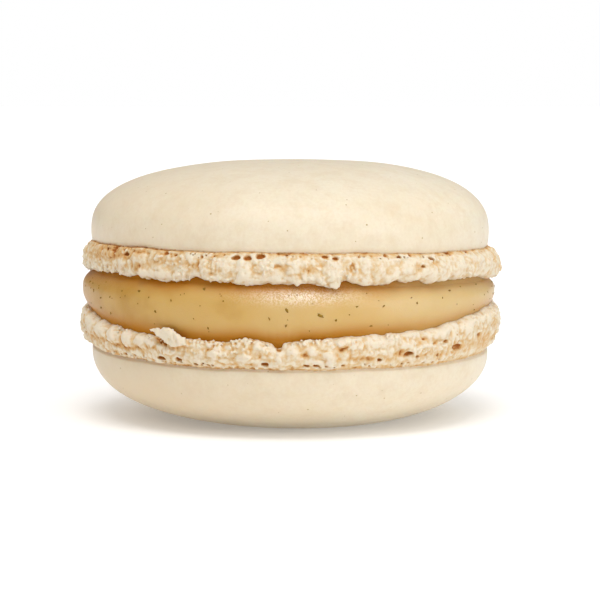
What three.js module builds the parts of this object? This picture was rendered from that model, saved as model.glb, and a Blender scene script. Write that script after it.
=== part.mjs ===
// French macaron: two almond meringue shells with a thick layer of vanilla cream between them.
//
// Each shell is one baked piece, a smooth dome with a craggy foot round its flat side, so the
// whole is three solids: top_shell, filling and bottom_shell. Units are millimetres and +Z is up.
// The origin is where the axis of the shells meets the ground, and the front is -Y.
//
// A bearing goes round the axis, in degrees, from the front towards the right (+X).
// A share goes down a foot from the dome's edge, 0, to the rim that meets the cream, 1.
// Each solid is a stack of rings, from the middle of its upper face, out over its side and in to
// the middle of its lower face, and neighbouring rings of unlike counts are zipped together.

import * as THREE from 'three';

const crownLevel = 27.2; // top of the upper dome
const restRadius = 11; // flat spot under the lower dome
const creamGap = 0.15; // clearance between the cream and each shell

// A level is a mean, and rises by right and by front towards those sides: the upper shell sits
// a little open to the front left. A dome's middle lies crownShift to the right of the axis.
// hollow is how far the lower shell's rim dips at the front.
const topShell = {
  dome: { radius: 21.15, roundness: 2.5, shoulder: 1.4, edgeTuck: 0.12, crownShift: 1.5, shiftFade: 2, leanFade: 3 },
  seam: { level: 18.38, right: -0.325, front: 0.3 },
  rim: { level: 15.15, right: -0.45, front: 0.35, hollow: 0, centre: 15.1 },
  foot: { radius: 22.2, right: 0.27, rimRadius: 21.5, bellyFall: 1.02, bellyFallRight: 0.42 },
  series: 1,
  drips: [
    { bearing: -12, halfWidth: 0.75, reach: 0.28 },
    { bearing: 11.7, halfWidth: 0.7, reach: 0.3 },
    { bearing: 14.6, halfWidth: 0.5, reach: -0.3 },
    { bearing: 33, halfWidth: 1.4, reach: -0.28 },
    { bearing: -44, halfWidth: 1.2, reach: 0.2 },
  ],
  pits: [
    { bearing: -50, share: 0.28, halfWidth: 0.5, halfHeight: 0.45, depth: 0.5 },
    { bearing: -35.3, share: 0.12, halfWidth: 0.45, halfHeight: 0.35, depth: 0.45 },
    { bearing: -13.6, share: 0.15, halfWidth: 0.5, halfHeight: 0.4, depth: 0.6 },
    { bearing: -7.7, share: 0.12, halfWidth: 0.6, halfHeight: 0.4, depth: 0.7 },
    { bearing: -2.5, share: 0.42, halfWidth: 0.6, halfHeight: 0.5, depth: 0.55 },
    { bearing: 5.9, share: 0.58, halfWidth: 0.5, halfHeight: 0.4, depth: 0.4 },
    { bearing: 14.8, share: 0.58, halfWidth: 0.45, halfHeight: 0.9, depth: 0.45 },
    { bearing: 30.5, share: 0.12, halfWidth: 0.6, halfHeight: 0.35, depth: 0.4 },
    { bearing: 40.5, share: 0.22, halfWidth: 0.5, halfHeight: 0.4, depth: 0.4 },
  ],
};

const bottomShell = {
  dome: { radius: 21.1, roundness: 2.3, shoulder: 0.4, edgeTuck: 0.15, crownShift: 2, shiftFade: 1.3, leanFade: 2 },
  seam: { level: 7.65, right: -0.24, front: -0.38 },
  rim: { level: 12.2, right: 0.1, front: 0, hollow: 1.9, hollowFrom: { left: 40, right: 15 }, centre: 11.8 },
  foot: { radius: 22.42, right: 0.05, rimRadius: 21.5, bellyFall: 1.4, bellyFallRight: 0.3 },
  series: 2,
  drips: [
    { bearing: -2.9, halfWidth: 0.6, reach: -0.65 },
    { bearing: -16, halfWidth: 1.6, reach: 0.2 },
    { bearing: 22, halfWidth: 1.5, reach: 0.2 },
  ],
  pits: [
    { bearing: -35, share: 0.85, halfWidth: 0.8, halfHeight: 0.4, depth: 0.6 },
    { bearing: -30.3, share: 0.22, halfWidth: 0.5, halfHeight: 0.45, depth: 0.5 },
    { bearing: -6.3, share: 0.22, halfWidth: 0.5, halfHeight: 0.4, depth: 0.6 },
    { bearing: 14.2, share: 0.18, halfWidth: 0.6, halfHeight: 0.35, depth: 0.4 },
    { bearing: 32.7, share: 0.35, halfWidth: 0.6, halfHeight: 0.5, depth: 0.5 },
    { bearing: 51, share: 0.35, halfWidth: 1, halfHeight: 0.5, depth: 0.6 },
    { bearing: 61.4, share: 0.5, halfWidth: 0.4, halfHeight: 0.5, depth: 0.4 },
  ],
  flake: { from: -38.4, to: -28, reach: 1.35, proud: 0.4 },
};

const cream = { radius: 21.93, right: -0.07, edgeRadius: 21.25, fullness: 3 };

// Lumps of each foot, in rows that go right round. Widths, heights and rises are in mm.
const lumpRows = [
  { share: 0.24, count: 58, halfWidth: 1.15, halfHeight: 0.8, rise: 0.65 },
  { share: 0.6, count: 50, halfWidth: 1.45, halfHeight: 1.4, rise: 0.95 },
  { share: 0.92, count: 54, halfWidth: 1.25, halfHeight: 0.8, rise: 0.75 },
];
const lumpRise = 0.85; // typical rise of a lump over the foot's core
const pores = { count: 46, share: 0.06, halfWidth: 0.42, halfHeight: 0.34, depth: 0.4 };
const scallop = 0.4; // how far the rim draws back between two lumps
const edgeThickness = 0.2; // the skin's rounded edge over the foot

// Corners in the rings
const footCorners = 240;
const footShares = [0, 0.1, 0.22, 0.36, 0.5, 0.64, 0.78, 0.9, 1];
const domeRings = [
  { share: 0.12, corners: 12 },
  { share: 0.26, corners: 24 },
  { share: 0.42, corners: 48 },
  { share: 0.55, corners: 72 },
  { share: 0.66, corners: 84 },
  { share: 0.77, corners: 96 },
  { share: 0.88, corners: 96 },
  { share: 1, corners: 120 },
];
const faceRings = [{ share: 0.7, corners: 48 }];
const lipCorners = 120;
const creamCorners = 96;
const creamBands = 6;

const materials = {
  shell: new THREE.MeshStandardMaterial({ color: 0xeedfc3, roughness: 0.6, metalness: 0 }),
  cream: new THREE.MeshStandardMaterial({ color: 0xd8b676, roughness: 0.35, metalness: 0 }),
};

const toRadians = THREE.MathUtils.degToRad;
const mix = THREE.MathUtils.lerp;

// A repeatable draw from 0 to 1, so that each lump keeps its size and place.
function draw(index, series) {
  const value = Math.sin(index * 12.9898 + series * 78.233) * 43758.5453;
  return value - Math.floor(value);
}

// Signed distance round the part from one bearing to another, in mm at the given radius.
function arcBetween(bearing, other, radius) {
  const turn = THREE.MathUtils.euclideanModulo(bearing - other + 180, 360) - 180;
  return toRadians(turn) * radius;
}

// 1 at the middle of an oval, falling as a round cap to 0 at its edge.
function cap(across, halfWidth, along, halfHeight) {
  return Math.sqrt(Math.max(0, 1 - (across / halfWidth) ** 2 - (along / halfHeight) ** 2));
}

function leaning({ level, right, front }, bearing) {
  const angle = toRadians(bearing);
  return level + right * Math.sin(angle) + front * Math.cos(angle);
}

// The rim without its scallops.
function rimLevel({ rim }, bearing) {
  if (!rim.hollow) return leaning(rim, bearing);
  const turn = THREE.MathUtils.euclideanModulo(bearing + 180, 360) - 180;
  const from = turn < 0 ? rim.hollowFrom.left : rim.hollowFrom.right;
  return leaning(rim, bearing) - rim.hollow * (1 - THREE.MathUtils.smoothstep(Math.abs(turn), from, 90));
}

// The flat side of a shell, which sags or swells a little from its rim to its middle.
function faceLevel(shell, bearing, radius) {
  const share = radius / shell.foot.rimRadius;
  return mix(shell.rim.centre, rimLevel(shell, bearing), share * share);
}

function makeLumps(series) {
  return lumpRows.flatMap((row, rowIndex) =>
    Array.from({ length: row.count }, (_, k) => {
      const index = rowIndex * 100 + k;
      return {
        bearing: ((k + 0.5 + 0.7 * (draw(index, series) - 0.5)) / row.count) * 360,
        share: row.share + 0.16 * (draw(index, series + 10) - 0.5),
        halfWidth: row.halfWidth * (0.8 + 0.45 * draw(index, series + 20)),
        halfHeight: row.halfHeight * (0.8 + 0.4 * draw(index, series + 30)),
        rise: row.rise * (0.6 + 0.6 * draw(index, series + 40)),
      };
    }),
  );
}

function makePores(series) {
  return Array.from({ length: pores.count }, (_, k) => ({
    bearing: ((k + draw(k, series + 50)) / pores.count) * 360,
    share: pores.share + 0.14 * draw(k, series + 60),
    halfWidth: pores.halfWidth * (0.6 + 0.7 * draw(k, series + 70)),
    halfHeight: pores.halfHeight * (0.7 + 0.6 * draw(k, series + 80)),
    depth: pores.depth * (0.5 + 0.7 * draw(k, series + 90)),
  }));
}

// The craggy foot, as a radius and a level at each bearing and share.
function makeFoot(shell) {
  const { foot, seam, dome, drips, pits, flake, series } = shell;
  const towardsCream = Math.sign(shell.rim.level - seam.level);
  const footHeight = Math.abs(shell.rim.level - seam.level);
  const lumps = makeLumps(series);
  const hollows = [...pits, ...makePores(series)];

  const highest = (shapes, bearing, share, size) =>
    shapes.reduce((most, shape) => {
      const across = arcBetween(bearing, shape.bearing, foot.radius);
      const along = (share - shape.share) * footHeight;
      return Math.max(most, shape[size] * cap(across, shape.halfWidth, along, shape.halfHeight));
    }, 0);

  // The flake is a shard with a steep left side, and it slopes away to the right.
  function flakeShare(bearing) {
    if (!flake) return 0;
    const along = arcBetween(bearing, flake.from, 1) / arcBetween(flake.to, flake.from, 1);
    return along > 0 && along < 1 ? Math.min(1, 8 * along) * (1 - along ** 3) : 0;
  }

  function radiusAt(bearing, share) {
    const outer = foot.radius + foot.right * Math.sin(toRadians(bearing)) - lumpRise;
    const inner = mix(dome.radius - dome.edgeTuck, foot.rimRadius, share);
    const fall = foot.bellyFall + foot.bellyFallRight * Math.sin(toRadians(bearing));
    const belly = Math.sqrt(1 - (2 * share ** fall - 1) ** 2);
    const ends = Math.min(1, 0.2 + 4 * share, 0.5 + 4 * (1 - share));
    const relief = highest(lumps, bearing, share, 'rise') * ends;
    const flakeProud = flake ? flake.proud * flakeShare(bearing) * share * share : 0;
    return inner + (outer - inner) * belly + relief + flakeProud - highest(hollows, bearing, share, 'depth');
  }

  function edgeLevel(bearing) {
    const drawnBack = scallop * Math.max(0, 1 - highest(lumps, bearing, 0.94, 'rise') / lumpRise);
    const reach = drips.reduce((sum, drip) => {
      const across = arcBetween(bearing, drip.bearing, foot.radius);
      return sum + drip.reach * cap(across, drip.halfWidth, 0, 1);
    }, 0);
    const flakeReach = flake ? flake.reach * flakeShare(bearing) : 0;
    return rimLevel(shell, bearing) + towardsCream * (reach + flakeReach - drawnBack);
  }

  const levelAt = (bearing, share) => mix(leaning(seam, bearing), edgeLevel(bearing), share);
  return footShares.map((share) => ({
    corners: footCorners,
    at: (bearing) => [radiusAt(bearing, share), levelAt(bearing, share)],
  }));
}

// The smooth dome, from its middle to its edge over the foot: a superellipse with a nearly
// upright band under it. The lower dome ends in a flat spot.
function makeDome({ dome, seam }, crown, flatRadius) {
  const outward = Math.sign(crown - seam.level);
  const widest = seam.level + outward * dome.shoulder;
  const flatDrop = (1 - (flatRadius / dome.radius) ** dome.roundness) ** (1 / dome.roundness);
  const rise = (crown - widest) / flatDrop;

  const ringOf = (radius, level, corners) => {
    const leanShare = ((crown - level) / (crown - seam.level)) ** dome.leanFade;
    return {
      corners,
      shift: dome.crownShift * (1 - radius / dome.radius) ** dome.shiftFade,
      at: (bearing) => [radius, level + (leaning(seam, bearing) - seam.level) * leanShare],
    };
  };

  const curved = domeRings.map(({ share, corners }) => {
    const from = Math.asin((flatRadius / dome.radius) ** (dome.roundness / 2));
    const angle = mix(from, Math.PI / 2, share);
    const radius = dome.radius * Math.sin(angle) ** (2 / dome.roundness);
    return ringOf(radius, widest + rise * Math.cos(angle) ** (2 / dome.roundness), corners);
  });
  const flat = flatRadius ? [ringOf(flatRadius, crown, 48)] : [];
  const edge = ringOf(dome.radius - dome.edgeTuck / 3, seam.level + outward * edgeThickness, lipCorners);
  return [ringOf(0, crown, 1), ...flat, ...curved, edge];
}

// The flat side of a shell, from its middle to just inside the foot's rim.
function makeFace(shell) {
  const inner = faceRings.map(({ share, corners }) => {
    const radius = share * shell.foot.rimRadius;
    return { corners, at: (bearing) => [radius, faceLevel(shell, bearing, radius)] };
  });
  const lip = shell.foot.rimRadius - 0.3;
  return [
    { corners: 1, at: () => [0, shell.rim.centre] },
    ...inner,
    { corners: lipCorners, at: (bearing) => [lip, faceLevel(shell, bearing, lip)] },
  ];
}

// The cream, which bulges a little between the two feet.
function makeCream() {
  const upper = (bearing, radius) => faceLevel(topShell, bearing, radius) - creamGap;
  const lower = (bearing, radius) => faceLevel(bottomShell, bearing, radius) + creamGap;
  const face = (surface) => [
    { corners: 1, at: (bearing) => [0, surface(bearing, 0)] },
    ...faceRings.map(({ share, corners }) => {
      const radius = share * cream.edgeRadius;
      return { corners, at: (bearing) => [radius, surface(bearing, radius)] };
    }),
  ];
  const side = Array.from({ length: creamBands + 1 }, (_, k) => {
    const share = (1 - Math.cos((Math.PI * k) / creamBands)) / 2;
    const swell = 1 - Math.abs(2 * share - 1) ** cream.fullness;
    const at = (bearing) => {
      const full = cream.radius + cream.right * Math.sin(toRadians(bearing));
      const level = mix(upper(bearing, cream.edgeRadius), lower(bearing, cream.edgeRadius), share);
      return [mix(cream.edgeRadius, full, swell), level];
    };
    return { corners: creamCorners, at };
  });
  return [...face(upper), ...side, ...face(lower).reverse()];
}

// A closed body from its rings. Between two rings, the triangle whose next corner comes first
// round the part is always the next to be closed.
function makeBody(rings) {
  const places = [];
  const faces = [];
  const firstCorners = rings.map(({ corners, at, shift = 0 }) => {
    const first = places.length / 3;
    for (let k = 0; k < corners; k += 1) {
      const bearing = (360 * k) / corners;
      const [radius, level] = at(bearing);
      const angle = toRadians(bearing);
      places.push(shift + radius * Math.sin(angle), -radius * Math.cos(angle), level);
    }
    return first;
  });

  for (let band = 0; band + 1 < rings.length; band += 1) {
    const [upper, lower] = [rings[band].corners, rings[band + 1].corners];
    const upperCorner = (k) => firstCorners[band] + (k % upper);
    const lowerCorner = (k) => firstCorners[band + 1] + (k % lower);
    const upperSteps = upper > 1 ? upper : 0;
    const lowerSteps = lower > 1 ? lower : 0;
    let a = 0;
    let b = 0;
    while (a < upperSteps || b < lowerSteps) {
      const upperNext = a < upperSteps ? (a + 1) / upper : Infinity;
      const lowerNext = b < lowerSteps ? (b + 1) / lower : Infinity;
      if (upperNext < lowerNext) {
        faces.push(upperCorner(a), lowerCorner(b), upperCorner(a + 1));
        a += 1;
      } else {
        faces.push(upperCorner(a), lowerCorner(b), lowerCorner(b + 1));
        b += 1;
      }
    }
  }

  const body = new THREE.BufferGeometry();
  body.setAttribute('position', new THREE.Float32BufferAttribute(places, 3));
  body.setIndex(faces);
  body.computeVertexNormals();
  return body;
}

function makePiece(name, rings, material) {
  const piece = new THREE.Mesh(makeBody(rings), material);
  piece.name = name;
  return piece;
}

const topRings = [...makeDome(topShell, crownLevel, 0), ...makeFoot(topShell), ...makeFace(topShell).reverse()];
const bottomRings = [
  ...makeFace(bottomShell),
  ...makeFoot(bottomShell).reverse(),
  ...makeDome(bottomShell, 0, restRadius).reverse(),
];

const macaron = new THREE.Group();
macaron.add(
  makePiece('top_shell', topRings, materials.shell),
  makePiece('filling', makeCream(), materials.cream),
  makePiece('bottom_shell', bottomRings, materials.shell),
);

export default macaron;
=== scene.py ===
import bpy
import bmesh
import math
import numpy as np
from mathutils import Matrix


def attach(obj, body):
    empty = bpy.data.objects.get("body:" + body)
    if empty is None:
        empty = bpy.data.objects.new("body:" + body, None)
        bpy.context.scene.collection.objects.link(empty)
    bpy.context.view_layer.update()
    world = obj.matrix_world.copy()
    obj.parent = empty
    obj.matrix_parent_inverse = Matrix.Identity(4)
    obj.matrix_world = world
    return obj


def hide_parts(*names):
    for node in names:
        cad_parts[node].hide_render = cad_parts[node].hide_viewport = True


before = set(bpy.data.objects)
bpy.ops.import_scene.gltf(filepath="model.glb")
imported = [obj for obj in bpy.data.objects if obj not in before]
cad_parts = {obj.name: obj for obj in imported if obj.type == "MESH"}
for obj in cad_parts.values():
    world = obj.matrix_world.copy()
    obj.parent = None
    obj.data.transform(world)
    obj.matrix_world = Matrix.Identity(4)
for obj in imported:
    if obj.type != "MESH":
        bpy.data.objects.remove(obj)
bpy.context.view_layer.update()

# Everything below is worked out in millimetres and made in metres.
# bearing: degrees round the axis, from the front (-Y) towards the right (+X)
# drop: millimetres over the height of a foot, from the edge of the dome's skin towards the cream
# share: the same from 0 at the skin's edge to 1 at the rim by the cream
mm = 0.001


def makeObject(name, points, faces, material=None):
    mesh = bpy.data.meshes.new(name)
    mesh.from_pydata((np.asarray(points) * mm).tolist(), [], [list(face) for face in faces])
    mesh.update()
    smooth(mesh)
    piece = bpy.data.objects.new(name, mesh)
    bpy.context.scene.collection.objects.link(piece)
    if material:
        mesh.materials.append(material)
    return piece


def smooth(mesh):
    mesh.polygons.foreach_set("use_smooth", [True] * len(mesh.polygons))


def pointsOf(mesh):
    flat = np.empty(len(mesh.vertices) * 3)
    mesh.vertices.foreach_get("co", flat)
    return flat.reshape(-1, 3) / mm


def bearingOf(points):
    return np.degrees(np.arctan2(points[:, 0], -points[:, 1]))


def applyModifiers(piece):
    seen = piece.evaluated_get(bpy.context.evaluated_depsgraph_get())
    made = bpy.data.meshes.new_from_object(seen)
    piece.modifiers.clear()
    piece.data = made


def writeValues(mesh, name, values):
    layer = mesh.attributes.new(name, "FLOAT", "POINT")
    layer.data.foreach_set("value", np.asarray(values, dtype=np.float32))


# the same repeatable draw as the solids use, so the big lumps are the same ones
def draw(index, series):
    value = np.sin(index * 12.9898 + series * 78.233) * 43758.5453
    return value - np.floor(value)


def drawnSize(dice, limits, power):  # most of them near the smaller limit
    low, high = limits
    return low + (high - low) * dice.random() ** power


def smoothStep(value, low, high):
    share = np.clip((value - low) / (high - low), 0, 1)
    return share * share * (3 - 2 * share)


# smooth joins: the larger or the smaller of two fields, rounded where they meet
def softMax(a, b, blend):
    near = np.maximum(blend - np.abs(a - b), 0) / blend
    return np.maximum(a, b) + near * near * blend / 4


def softMin(a, b, blend):
    return -softMax(-a, -b, blend)


def turned(bearing):  # the same bearing from -180 to 180
    return (bearing + 180) % 360 - 180


def arcBetween(bearing, other, radius):
    return np.radians(turned(bearing - other)) * radius


def leaning(level, bearing):  # level: mean, rise to the right, rise to the front
    angle = np.radians(bearing)
    return level[0] + level[1] * np.sin(angle) + level[2] * np.cos(angle)


# a soft cloud of random values over a whole grid, without a seam where it meets itself
def cloud(dice, shape, blocks):
    field = dice.uniform(-1, 1, blocks)
    for axis, (size, count) in enumerate(zip(shape, blocks)):
        place = np.arange(size) * count / size if axis == 0 else np.arange(size) * (count - 1) / (size - 1)
        low = np.floor(place).astype(int)
        step = place - low
        step = step * step * (3 - 2 * step)
        high = (low + 1) % count if axis == 0 else np.minimum(low + 1, count - 1)
        step = step.reshape([-1 if k == axis else 1 for k in range(3)])
        field = np.take(field, low % count, axis) * (1 - step) + np.take(field, high, axis) * step
    return field


# sizes of the two baked shells, and what shows on the front of their feet
topShell = {
    "piece": "top_shell_baked", "node": "top_shell", "series": 1,
    "crown": 27.2, "flatRadius": 0, "domeRadius": 21.15, "roundness": 2.5,
    "shoulder": 1.4, "edgeTuck": 0.12, "crownShift": 1.5, "shiftFade": 2, "leanFade": 3,
    "seam": (18.38, -0.325, 0.3), "rim": (15.15, -0.45, 0.35), "faceCentre": 15.1,
    "hollow": 0, "hollowFrom": (40, 15),
    "footRadius": 22.2, "footRight": 0.27, "rimRadius": 21.5, "bellyFall": (1.02, 0.42),
    "dropReach": 4.1, "creviceShadeShare": 0.72,
    "lobes": [  # bearing, share, half width, half height, rise
        (-66, 0.4, 2.9, 1.15, 0.3), (-60, 0.68, 1.45, 0.6, 0.3), (-52, 0.49, 1.3, 0.7, 0.4),
        (-44, 0.34, 1.35, 0.8, 0.45), (-42.3, 0.81, 1.3, 0.6, 0.35), (-36, 0.7, 1.3, 1, 0.45),
        (-32.4, 0.36, 0.75, 0.5, 0.25), (-29.4, 0.59, 0.9, 1, 0.3), (-26.4, 0.33, 0.7, 0.6, 0.25),
        (-22.4, 0.52, 0.65, 1.05, 0.4), (-17, 0.47, 1.45, 1.05, 0.35), (-11.6, 0.57, 0.9, 1.15, 0.45),
        (-5.2, 0.58, 1.05, 0.75, 0.3), (-1.5, 0.23, 0.85, 0.5, 0.35), (1.3, 0.47, 0.85, 1.15, 0.4),
        (7.3, 0.73, 1.15, 0.6, 0.3), (11.6, 0.52, 1.1, 1.35, 0.5), (14.7, 0.1, 0.5, 0.3, 0.25),
        (20.3, 0.4, 0.75, 1.35, 0.35), (23.8, 0.46, 0.95, 1.35, 0.4), (28.1, 0.65, 0.9, 0.9, 0.35),
        (32.7, 0.57, 1.1, 1, 0.4), (35.9, 0.25, 1.15, 0.6, 0.25), (40, 0.62, 1.25, 1, 0.4),
        (44.8, 0.52, 1.05, 1.1, 0.35), (51, 0.48, 1.4, 1.2, 0.35), (59.3, 0.4, 2.1, 1.3, 0.4),
        (69.9, 0.4, 3.9, 1.25, 0.4),
    ],
    "hollows": [  # bearing, share, half width, half height, depth
        (-47, 0.58, 0.5, 0.9, 0.2), (-44.6, 0.76, 0.6, 0.3, 0.25), (-38.3, 0.4, 0.4, 0.6, 0.2),
        (-24.4, 0.44, 0.35, 0.7, 0.25), (-2.6, 0.42, 0.5, 0.4, 0.35), (5.5, 0.51, 0.6, 0.45, 0.3),
        (16.5, 0.49, 0.4, 1.05, 0.4), (29.9, 0.41, 0.35, 0.8, 0.2), (35.5, 0.49, 0.75, 0.4, 0.2),
        (41.4, 0.29, 0.55, 0.4, 0.2), (48, 0.41, 0.5, 1, 0.2),
    ],
    "pores": [  # bearing, share, half width, half height
        (-55.2, 0.06, 0.32, 0.22), (-49, 0.24, 0.32, 0.24), (-34.6, 0.1, 0.32, 0.17),
        (-31.3, 0.14, 0.26, 0.15), (-23.3, 0.16, 0.19, 0.13), (-13.9, 0.16, 0.4, 0.22),
        (-10.7, 0.17, 0.38, 0.24), (-7.5, 0.12, 0.45, 0.26), (-0.5, 0.08, 0.2, 0.13),
        (9.3, 0.09, 0.3, 0.15), (11.8, 0.14, 0.32, 0.17), (26.4, 0.06, 0.2, 0.17),
        (30.2, 0.12, 0.18, 0.15), (31.6, 0.13, 0.14, 0.12), (33.9, 0.07, 0.15, 0.12),
        (40.6, 0.19, 0.28, 0.2), (37.2, 0.46, 0.22, 0.17), (69, 0.82, 0.4, 0.16),
        (48.4, 0.05, 0.4, 0.12), (57.5, 0.05, 0.3, 0.12),
    ],
    "edge": [  # bearing, share reached
        (-78, 0.93), (-66.5, 0.94), (-59.9, 0.91), (-55, 0.9), (-50, 0.96), (-46, 0.91), (-42.3, 1.01),
        (-39.3, 0.96), (-35, 1.01), (-31, 0.95), (-28, 0.9), (-25.6, 0.82), (-23, 0.89), (-18.9, 0.93),
        (-15, 0.94), (-11.6, 1.07), (-9, 0.98), (-5.2, 0.95), (-2.5, 1), (2.8, 0.97), (7, 0.95),
        (9.5, 0.99), (11.8, 1.08), (14.9, 0.8), (17, 0.93), (20.8, 0.99), (25, 0.98), (27, 0.96),
        (29.3, 0.82), (33, 0.92), (36.9, 0.79), (40.3, 0.94), (44, 0.86), (45.6, 0.89), (48.2, 0.8),
        (51.1, 0.87), (56, 0.83), (63, 0.84), (78, 0.9),
    ],
    "toastAndShade": [  # bearing, share, half width, half height, how much browning or painted shade
        (-55.8, 0.19, 5.2, 0.7, 0.8), (-68, 0.28, 3.7, 0.8, 0.5), (-33.3, 0.21, 1.7, 0.5, 0.5),
        (-24.4, 0.41, 0.55, 0.9, 0.5), (-18.9, 0.07, 1.25, 0.3, 0.5), (-6.7, 0.37, 1, 0.8, 0.25),
        (5.5, 0.49, 0.8, 0.6, 0.35), (16.5, 0.49, 0.6, 1.2, 0.45), (2.8, 0, 4, 0.25, 0.3),
        (35.5, 0.49, 1, 0.6, 0.3), (-44.2, 0.69, 0.9, 0.6, 0.4), (44.3, 0.27, 2.4, 0.6, 0.15),
        (-2.6, 0.42, 0.6, 0.5, 0.5),
    ],
    "sandy": [  # bearing, share, half width, half height, how many grains
        (-57.4, 0.2, 5, 0.7, 1), (-33.3, 0.24, 2, 0.6, 0.8), (-6.7, 0.37, 1, 0.8, 1),
        (5.5, 0.49, 0.8, 0.6, 0.8), (11.3, 0.1, 1.4, 0.5, 1), (-21.6, 0.12, 2.1, 0.5, 0.5),
        (30.5, 0.14, 1.4, 0.5, 1), (44.3, 0.15, 4.7, 0.6, 0.4),
    ],
    "flake": None,
}
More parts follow.
